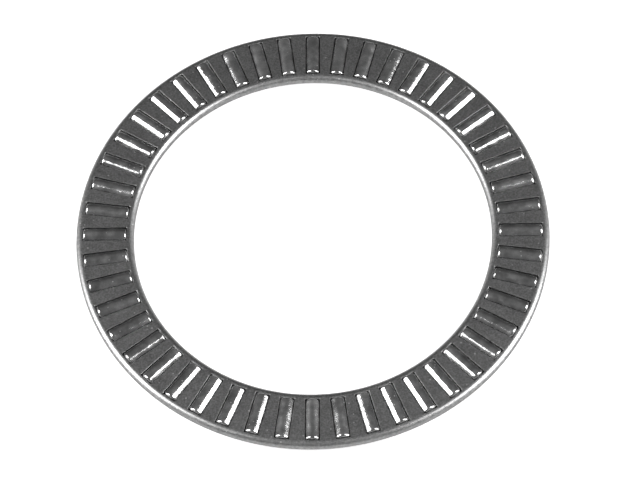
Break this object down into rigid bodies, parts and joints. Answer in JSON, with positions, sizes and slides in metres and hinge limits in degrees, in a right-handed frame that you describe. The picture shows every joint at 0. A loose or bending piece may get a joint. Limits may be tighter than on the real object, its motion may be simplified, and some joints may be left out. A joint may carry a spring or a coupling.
{
  "type": "axial needle roller and cage assembly",
  "caption": "Flat ring-shaped thrust bearing: radial needle rollers held in the closed slots of a two-shell pressed steel cage, open bore, no washers.",
  "frame": {"origin": "centre of the cage, on the bearing axis, half-way between its two faces", "axes": "+Z along the bearing axis, out of the face of the upper shell, whose flanges lie around the lower shell; +X along the axis of needle_roller_01"},
  "size_m": [0.1194, 0.1194, 0.004],
  "materials": {
    "cage_steel": "dull grey pressed sheet",
    "roller_steel": "ground and polished hardened steel"
  },
  "bodies": {
    "cage": {"cage_upper_shell": "cage_steel", "cage_lower_shell": "cage_steel"},
    "roller_01": {"needle_roller_01": "roller_steel"},
    "roller_02": {"needle_roller_02": "roller_steel"},
    "roller_03": {"needle_roller_03": "roller_steel"},
    "roller_04": {"needle_roller_04": "roller_steel"},
    "roller_05": {"needle_roller_05": "roller_steel"},
    "roller_06": {"needle_roller_06": "roller_steel"},
    "roller_07": {"needle_roller_07": "roller_steel"},
    "roller_08": {"needle_roller_08": "roller_steel"},
    "roller_09": {"needle_roller_09": "roller_steel"},
    "roller_10": {"needle_roller_10": "roller_steel"},
    "roller_11": {"needle_roller_11": "roller_steel"},
    "roller_12": {"needle_roller_12": "roller_steel"},
    "roller_13": {"needle_roller_13": "roller_steel"},
    "roller_14": {"needle_roller_14": "roller_steel"},
    "roller_15": {"needle_roller_15": "roller_steel"},
    "roller_16": {"needle_roller_16": "roller_steel"},
    "roller_17": {"needle_roller_17": "roller_steel"},
    "roller_18": {"needle_roller_18": "roller_steel"},
    "roller_19": {"needle_roller_19": "roller_steel"},
    "roller_20": {"needle_roller_20": "roller_steel"},
    "roller_21": {"needle_roller_21": "roller_steel"},
    "roller_22": {"needle_roller_22": "roller_steel"},
    "roller_23": {"needle_roller_23": "roller_steel"},
    "roller_24": {"needle_roller_24": "roller_steel"},
    "roller_25": {"needle_roller_25": "roller_steel"},
    "roller_26": {"needle_roller_26": "roller_steel"},
    "roller_27": {"needle_roller_27": "roller_steel"},
    "roller_28": {"needle_roller_28": "roller_steel"},
    "roller_29": {"needle_roller_29": "roller_steel"},
    "roller_30": {"needle_roller_30": "roller_steel"},
    "roller_31": {"needle_roller_31": "roller_steel"},
    "roller_32": {"needle_roller_32": "roller_steel"},
    "roller_33": {"needle_roller_33": "roller_steel"},
    "roller_34": {"needle_roller_34": "roller_steel"},
    "roller_35": {"needle_roller_35": "roller_steel"},
    "roller_36": {"needle_roller_36": "roller_steel"},
    "roller_37": {"needle_roller_37": "roller_steel"},
    "roller_38": {"needle_roller_38": "roller_steel"},
    "roller_39": {"needle_roller_39": "roller_steel"},
    "roller_40": {"needle_roller_40": "roller_steel"},
    "roller_41": {"needle_roller_41": "roller_steel"},
    "roller_42": {"needle_roller_42": "roller_steel"},
    "roller_43": {"needle_roller_43": "roller_steel"},
    "roller_44": {"needle_roller_44": "roller_steel"},
    "roller_45": {"needle_roller_45": "roller_steel"},
    "roller_46": {"needle_roller_46": "roller_steel"},
    "roller_47": {"needle_roller_47": "roller_steel"},
    "roller_48": {"needle_roller_48": "roller_steel"}
  },
  "joints": [
    {"name": "roller_spin_01", "type": "hinge", "parent": "cage", "child": "roller_01", "pos_m": [0.0525, 0, 0], "axis": [1, 0, 0], "continuous": true},
    {"name": "roller_spin_02", "type": "hinge", "parent": "cage", "child": "roller_02", "pos_m": [0.05205, 0.00685, 0], "axis": [0.9914, 0.1305, 0], "continuous": true},
    {"name": "roller_spin_03", "type": "hinge", "parent": "cage", "child": "roller_03", "pos_m": [0.05071, 0.01359, 0], "axis": [0.9659, 0.2588, 0], "continuous": true},
    {"name": "roller_spin_04", "type": "hinge", "parent": "cage", "child": "roller_04", "pos_m": [0.0485, 0.02009, 0], "axis": [0.9239, 0.3827, 0], "continuous": true},
    {"name": "roller_spin_05", "type": "hinge", "parent": "cage", "child": "roller_05", "pos_m": [0.04547, 0.02625, 0], "axis": [0.866, 0.5, 0], "continuous": true},
    {"name": "roller_spin_06", "type": "hinge", "parent": "cage", "child": "roller_06", "pos_m": [0.04165, 0.03196, 0], "axis": [0.7934, 0.6088, 0], "continuous": true},
    {"name": "roller_spin_07", "type": "hinge", "parent": "cage", "child": "roller_07", "pos_m": [0.03712, 0.03712, 0], "axis": [0.7071, 0.7071, 0], "continuous": true},
    {"name": "roller_spin_08", "type": "hinge", "parent": "cage", "child": "roller_08", "pos_m": [0.03196, 0.04165, 0], "axis": [0.6088, 0.7934, 0], "continuous": true},
    {"name": "roller_spin_09", "type": "hinge", "parent": "cage", "child": "roller_09", "pos_m": [0.02625, 0.04547, 0], "axis": [0.5, 0.866, 0], "continuous": true},
    {"name": "roller_spin_10", "type": "hinge", "parent": "cage", "child": "roller_10", "pos_m": [0.02009, 0.0485, 0], "axis": [0.3827, 0.9239, 0], "continuous": true},
    {"name": "roller_spin_11", "type": "hinge", "parent": "cage", "child": "roller_11", "pos_m": [0.01359, 0.05071, 0], "axis": [0.2588, 0.9659, 0], "continuous": true},
    {"name": "roller_spin_12", "type": "hinge", "parent": "cage", "child": "roller_12", "pos_m": [0.00685, 0.05205, 0], "axis": [0.1305, 0.9914, 0], "continuous": true},
    {"name": "roller_spin_13", "type": "hinge", "parent": "cage", "child": "roller_13", "pos_m": [0, 0.0525, 0], "axis": [0, 1, 0], "continuous": true},
    {"name": "roller_spin_14", "type": "hinge", "parent": "cage", "child": "roller_14", "pos_m": [-0.00685, 0.05205, 0], "axis": [-0.1305, 0.9914, 0], "continuous": true},
    {"name": "roller_spin_15", "type": "hinge", "parent": "cage", "child": "roller_15", "pos_m": [-0.01359, 0.05071, 0], "axis": [-0.2588, 0.9659, 0], "continuous": true},
    {"name": "roller_spin_16", "type": "hinge", "parent": "cage", "child": "roller_16", "pos_m": [-0.02009, 0.0485, 0], "axis": [-0.3827, 0.9239, 0], "continuous": true},
    {"name": "roller_spin_17", "type": "hinge", "parent": "cage", "child": "roller_17", "pos_m": [-0.02625, 0.04547, 0], "axis": [-0.5, 0.866, 0], "continuous": true},
    {"name": "roller_spin_18", "type": "hinge", "parent": "cage", "child": "roller_18", "pos_m": [-0.03196, 0.04165, 0], "axis": [-0.6088, 0.7934, 0], "continuous": true},
    {"name": "roller_spin_19", "type": "hinge", "parent": "cage", "child": "roller_19", "pos_m": [-0.03712, 0.03712, 0], "axis": [-0.7071, 0.7071, 0], "continuous": true},
    {"name": "roller_spin_20", "type": "hinge", "parent": "cage", "child": "roller_20", "pos_m": [-0.04165, 0.03196, 0], "axis": [-0.7934, 0.6088, 0], "continuous": true},
    {"name": "roller_spin_21", "type": "hinge", "parent": "cage", "child": "roller_21", "pos_m": [-0.04547, 0.02625, 0], "axis": [-0.866, 0.5, 0], "continuous": true},
    {"name": "roller_spin_22", "type": "hinge", "parent": "cage", "child": "roller_22", "pos_m": [-0.0485, 0.02009, 0], "axis": [-0.9239, 0.3827, 0], "continuous": true},
    {"name": "roller_spin_23", "type": "hinge", "parent": "cage", "child": "roller_23", "pos_m": [-0.05071, 0.01359, 0], "axis": [-0.9659, 0.2588, 0], "continuous": true},
    {"name": "roller_spin_24", "type": "hinge", "parent": "cage", "child": "roller_24", "pos_m": [-0.05205, 0.00685, 0], "axis": [-0.9914, 0.1305, 0], "continuous": true},
    {"name": "roller_spin_25", "type": "hinge", "parent": "cage", "child": "roller_25", "pos_m": [-0.0525, 0, 0], "axis": [-1, 0, 0], "continuous": true},
    {"name": "roller_spin_26", "type": "hinge", "parent": "cage", "child": "roller_26", "pos_m": [-0.05205, -0.00685, 0], "axis": [-0.9914, -0.1305, 0], "continuous": true},
    {"name": "roller_spin_27", "type": "hinge", "parent": "cage", "child": "roller_27", "pos_m": [-0.05071, -0.01359, 0], "axis": [-0.9659, -0.2588, 0], "continuous": true},
    {"name": "roller_spin_28", "type": "hinge", "parent": "cage", "child": "roller_28", "pos_m": [-0.0485, -0.02009, 0], "axis": [-0.9239, -0.3827, 0], "continuous": true},
    {"name": "roller_spin_29", "type": "hinge", "parent": "cage", "child": "roller_29", "pos_m": [-0.04547, -0.02625, 0], "axis": [-0.866, -0.5, 0], "continuous": true},
    {"name": "roller_spin_30", "type": "hinge", "parent": "cage", "child": "roller_30", "pos_m": [-0.04165, -0.03196, 0], "axis": [-0.7934, -0.6088, 0], "continuous": true},
    {"name": "roller_spin_31", "type": "hinge", "parent": "cage", "child": "roller_31", "pos_m": [-0.03712, -0.03712, 0], "axis": [-0.7071, -0.7071, 0], "continuous": true},
    {"name": "roller_spin_32", "type": "hinge", "parent": "cage", "child": "roller_32", "pos_m": [-0.03196, -0.04165, 0], "axis": [-0.6088, -0.7934, 0], "continuous": true},
    {"name": "roller_spin_33", "type": "hinge", "parent": "cage", "child": "roller_33", "pos_m": [-0.02625, -0.04547, 0], "axis": [-0.5, -0.866, 0], "continuous": true},
    {"name": "roller_spin_34", "type": "hinge", "parent": "cage", "child": "roller_34", "pos_m": [-0.02009, -0.0485, 0], "axis": [-0.3827, -0.9239, 0], "continuous": true},
    {"name": "roller_spin_35", "type": "hinge", "parent": "cage", "child": "roller_35", "pos_m": [-0.01359, -0.05071, 0], "axis": [-0.2588, -0.9659, 0], "continuous": true},
    {"name": "roller_spin_36", "type": "hinge", "parent": "cage", "child": "roller_36", "pos_m": [-0.00685, -0.05205, 0], "axis": [-0.1305, -0.9914, 0], "continuous": true},
    {"name": "roller_spin_37", "type": "hinge", "parent": "cage", "child": "roller_37", "pos_m": [0, -0.0525, 0], "axis": [0, -1, 0], "continuous": true},
    {"name": "roller_spin_38", "type": "hinge", "parent": "cage", "child": "roller_38", "pos_m": [0.00685, -0.05205, 0], "axis": [0.1305, -0.9914, 0], "continuous": true},
    {"name": "roller_spin_39", "type": "hinge", "parent": "cage", "child": "roller_39", "pos_m": [0.01359, -0.05071, 0], "axis": [0.2588, -0.9659, 0], "continuous": true},
    {"name": "roller_spin_40", "type": "hinge", "parent": "cage", "child": "roller_40", "pos_m": [0.02009, -0.0485, 0], "axis": [0.3827, -0.9239, 0], "continuous": true},
    {"name": "roller_spin_41", "type": "hinge", "parent": "cage", "child": "roller_41", "pos_m": [0.02625, -0.04547, 0], "axis": [0.5, -0.866, 0], "continuous": true},
    {"name": "roller_spin_42", "type": "hinge", "parent": "cage", "child": "roller_42", "pos_m": [0.03196, -0.04165, 0], "axis": [0.6088, -0.7934, 0], "continuous": true},
    {"name": "roller_spin_43", "type": "hinge", "parent": "cage", "child": "roller_43", "pos_m": [0.03712, -0.03712, 0], "axis": [0.7071, -0.7071, 0], "continuous": true},
    {"name": "roller_spin_44", "type": "hinge", "parent": "cage", "child": "roller_44", "pos_m": [0.04165, -0.03196, 0], "axis": [0.7934, -0.6088, 0], "continuous": true},
    {"name": "roller_spin_45", "type": "hinge", "parent": "cage", "child": "roller_45", "pos_m": [0.04547, -0.02625, 0], "axis": [0.866, -0.5, 0], "continuous": true},
    {"name": "roller_spin_46", "type": "hinge", "parent": "cage", "child": "roller_46", "pos_m": [0.0485, -0.02009, 0], "axis": [0.9239, -0.3827, 0], "continuous": true},
    {"name": "roller_spin_47", "type": "hinge", "parent": "cage", "child": "roller_47", "pos_m": [0.05071, -0.01359, 0], "axis": [0.9659, -0.2588, 0], "continuous": true},
    {"name": "roller_spin_48", "type": "hinge", "parent": "cage", "child": "roller_48", "pos_m": [0.05205, -0.00685, 0], "axis": [0.9914, -0.1305, 0], "continuous": true}
  ]
}
